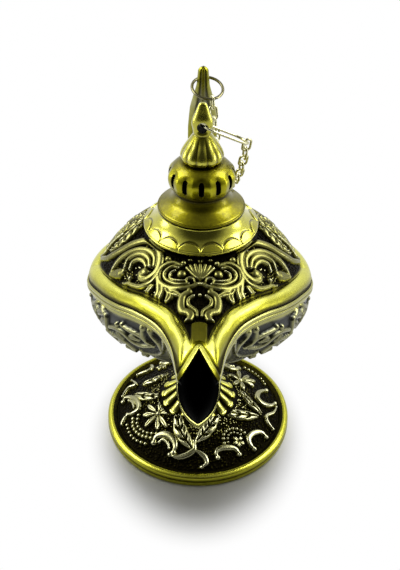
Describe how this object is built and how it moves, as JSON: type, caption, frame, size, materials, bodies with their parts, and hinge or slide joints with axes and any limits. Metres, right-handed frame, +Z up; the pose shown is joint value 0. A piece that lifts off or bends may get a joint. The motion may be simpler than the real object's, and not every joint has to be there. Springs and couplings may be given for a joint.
{
  "type": "incense burner lamp",
  "caption": "Footed genie lamp incense burner in antique brass, with an open spout, curved handle and a pierced lift-off lid tied on by a chain.",
  "frame": {"origin": "centre of the foot's underside, on the table", "axes": "+Z up along the foot, lid and collar axis; -Y towards the spout; +X to the right as seen from the spout"},
  "size_m": [0.056, 0.1055, 0.0948],
  "materials": {
    "antique_brass": "polished high spots over dark antiqued recesses",
    "aged_bowl": "greyer antiqued relief with a polished rim",
    "chain_wire": "aged bright wire",
    "screw_steel": "plain zinc plated",
    "cup_brass": "satin"
  },
  "bodies": {
    "lamp": {"foot": "antique_brass", "stem_screw": "screw_steel", "stem_nut": "screw_steel", "lower_bowl": "aged_bowl", "upper_shell": "antique_brass", "collar": "antique_brass", "handle": "antique_brass", "handle_screw": "screw_steel"},
    "cup": {"incense_cup": "cup_brass"},
    "lid": {"lid_base": "antique_brass", "lid_finial": "antique_brass", "finial_screw": "screw_steel"},
    "lid_ring": {"lid_ring": "chain_wire"},
    "chain_ring": {"chain_ring": "chain_wire"},
    "chain_link_01": {"chain_link_01": "chain_wire"},
    "chain_link_02": {"chain_link_02": "chain_wire"},
    "chain_link_03": {"chain_link_03": "chain_wire"},
    "chain_link_04": {"chain_link_04": "chain_wire"},
    "chain_link_05": {"chain_link_05": "chain_wire"},
    "chain_link_06": {"chain_link_06": "chain_wire"},
    "chain_link_07": {"chain_link_07": "chain_wire"},
    "chain_link_08": {"chain_link_08": "chain_wire"},
    "chain_link_09": {"chain_link_09": "chain_wire"},
    "chain_link_10": {"chain_link_10": "chain_wire"},
    "chain_link_11": {"chain_link_11": "chain_wire"},
    "chain_link_12": {"chain_link_12": "chain_wire"},
    "chain_link_13": {"chain_link_13": "chain_wire"},
    "chain_link_14": {"chain_link_14": "chain_wire"},
    "chain_link_15": {"chain_link_15": "chain_wire"},
    "chain_link_16": {"chain_link_16": "chain_wire"},
    "chain_link_17": {"chain_link_17": "chain_wire"},
    "chain_link_18": {"chain_link_18": "chain_wire"}
  },
  "joints": [
    {"name": "lid_lift", "type": "slide", "parent": "lamp", "child": "lid", "axis": [0, 0, 1], "range_m": [0, 0.012]},
    {"name": "cup_lift", "type": "slide", "parent": "lamp", "child": "cup", "axis": [0, 0, 1], "range_m": [0, 0.018]},
    {"name": "chain_ring_tilt", "type": "hinge", "parent": "lamp", "child": "chain_ring", "pos_m": [0.0011, 0.0329, 0.0835], "axis": [-0.9626, -0.2709, 0], "range_deg": [-0.5, 5.5]},
    {"name": "lid_ring_swing", "type": "hinge", "parent": "lid", "child": "lid_ring", "pos_m": [0, 0, 0.0896], "axis": [-0.9626, -0.2709, 0], "range_deg": [-0.5, 4.5]},
    {"name": "link_01_swing", "type": "hinge", "parent": "chain_ring", "child": "chain_link_01", "pos_m": [0.00232, 0.02959, 0.08264], "axis": [-0.9626, -0.2709, 0], "range_deg": [-0.5, 4.93]},
    {"name": "link_02_swing", "type": "hinge", "parent": "chain_link_01", "child": "chain_link_02", "pos_m": [0.00257, 0.02871, 0.08021], "axis": [-0.9626, -0.2709, 0], "range_deg": [-0.5, 2.94]},
    {"name": "link_03_swing", "type": "hinge", "parent": "chain_link_02", "child": "chain_link_03", "pos_m": [0.00284, 0.02772, 0.07782], "axis": [-0.9626, -0.2709, 0], "range_deg": [-0.5, 3.92]},
    {"name": "link_04_swing", "type": "hinge", "parent": "chain_link_03", "child": "chain_link_04", "pos_m": [0.00316, 0.0266, 0.0755], "axis": [-0.9626, -0.2709, 0], "range_deg": [-0.5, 5.31]},
    {"name": "link_05_swing", "type": "hinge", "parent": "chain_link_04", "child": "chain_link_05", "pos_m": [0.00352, 0.02532, 0.07327], "axis": [-0.9626, -0.2709, 0], "range_deg": [-0.5, 6.99]},
    {"name": "link_06_swing", "type": "hinge", "parent": "chain_link_05", "child": "chain_link_06", "pos_m": [0.00394, 0.02382, 0.07118], "axis": [-0.9626, -0.2709, 0], "range_deg": [-0.5, 8.12]},
    {"name": "link_07_swing", "type": "hinge", "parent": "chain_link_06", "child": "chain_link_07", "pos_m": [0.00444, 0.02206, 0.06934], "axis": [-0.9626, -0.2709, 0], "range_deg": [-0.5, 6.83]},
    {"name": "link_08_swing", "type": "hinge", "parent": "chain_link_07", "child": "chain_link_08", "pos_m": [0.00502, 0.01999, 0.06788], "axis": [-0.9626, -0.2709, 0], "range_deg": [-0.5, 1.9]},
    {"name": "link_09_swing", "type": "hinge", "parent": "chain_link_08", "child": "chain_link_09", "pos_m": [0.00569, 0.01762, 0.06702], "axis": [-0.9626, -0.2709, 0], "range_deg": [-5.41, 0.5]},
    {"name": "link_18_swing", "type": "hinge", "parent": "lid_ring", "child": "chain_link_18", "pos_m": [0.01004, 0.00216, 0.08483], "axis": [-0.9626, -0.2709, 0], "range_deg": [-1.78, 0.5]},
    {"name": "link_17_swing", "type": "hinge", "parent": "chain_link_18", "child": "chain_link_17", "pos_m": [0.00981, 0.00296, 0.08236], "axis": [-0.9626, -0.2709, 0], "range_deg": [-0.5, 1.21]},
    {"name": "link_16_swing", "type": "hinge", "parent": "chain_link_17", "child": "chain_link_16", "pos_m": [0.00956, 0.00386, 0.07994], "axis": [-0.9626, -0.2709, 0], "range_deg": [-0.5, 1.46]},
    {"name": "link_15_swing", "type": "hinge", "parent": "chain_link_16", "child": "chain_link_15", "pos_m": [0.00928, 0.00486, 0.07755], "axis": [-0.9626, -0.2709, 0], "range_deg": [-0.5, 1.84]},
    {"name": "link_14_swing", "type": "hinge", "parent": "chain_link_15", "child": "chain_link_14", "pos_m": [0.00896, 0.006, 0.07524], "axis": [-0.9626, -0.2709, 0], "range_deg": [-0.5, 2.41]},
    {"name": "link_13_swing", "type": "hinge", "parent": "chain_link_14", "child": "chain_link_13", "pos_m": [0.00859, 0.0073, 0.07302], "axis": [-0.9626, -0.2709, 0], "range_deg": [-0.5, 3.29]},
    {"name": "link_12_swing", "type": "hinge", "parent": "chain_link_13", "child": "chain_link_12", "pos_m": [0.00816, 0.00883, 0.07096], "axis": [-0.9626, -0.2709, 0], "range_deg": [-0.5, 4.63]},
    {"name": "link_11_swing", "type": "hinge", "parent": "chain_link_12", "child": "chain_link_11", "pos_m": [0.00766, 0.01062, 0.06915], "axis": [-0.9626, -0.2709, 0], "range_deg": [-0.5, 6.53]},
    {"name": "link_10_swing", "type": "hinge", "parent": "chain_link_11", "child": "chain_link_10", "pos_m": [0.00706, 0.01273, 0.06774], "axis": [-0.9626, -0.2709, 0], "range_deg": [-0.5, 8.54]}
  ],
  "couplings": [
    {"joint": "chain_ring_tilt", "follows": "lid_lift", "rad_per_m": 7.2722},
    {"joint": "lid_ring_swing", "follows": "lid_lift", "rad_per_m": 5.8178},
    {"joint": "link_01_swing", "follows": "lid_lift", "rad_per_m": 6.4466},
    {"joint": "link_02_swing", "follows": "lid_lift", "rad_per_m": 3.5508},
    {"joint": "link_03_swing", "follows": "lid_lift", "rad_per_m": 4.9813},
    {"joint": "link_04_swing", "follows": "lid_lift", "rad_per_m": 6.9963},
    {"joint": "link_05_swing", "follows": "lid_lift", "rad_per_m": 9.4314},
    {"joint": "link_06_swing", "follows": "lid_lift", "rad_per_m": 11.084},
    {"joint": "link_07_swing", "follows": "lid_lift", "rad_per_m": 9.208},
    {"joint": "link_08_swing", "follows": "lid_lift", "rad_per_m": 2.032},
    {"joint": "link_09_swing", "follows": "lid_lift", "rad_per_m": -7.135},
    {"joint": "link_18_swing", "follows": "lid_lift", "rad_per_m": -1.8675},
    {"joint": "link_17_swing", "follows": "lid_lift", "rad_per_m": 1.032},
    {"joint": "link_16_swing", "follows": "lid_lift", "rad_per_m": 1.4012},
    {"joint": "link_15_swing", "follows": "lid_lift", "rad_per_m": 1.9482},
    {"joint": "link_14_swing", "follows": "lid_lift", "rad_per_m": 2.778},
    {"joint": "link_13_swing", "follows": "lid_lift", "rad_per_m": 4.0561},
    {"joint": "link_12_swing", "follows": "lid_lift", "rad_per_m": 6.0073},
    {"joint": "link_11_swing", "follows": "lid_lift", "rad_per_m": 8.7637},
    {"joint": "link_10_swing", "follows": "lid_lift", "rad_per_m": 11.698}
  ]
}
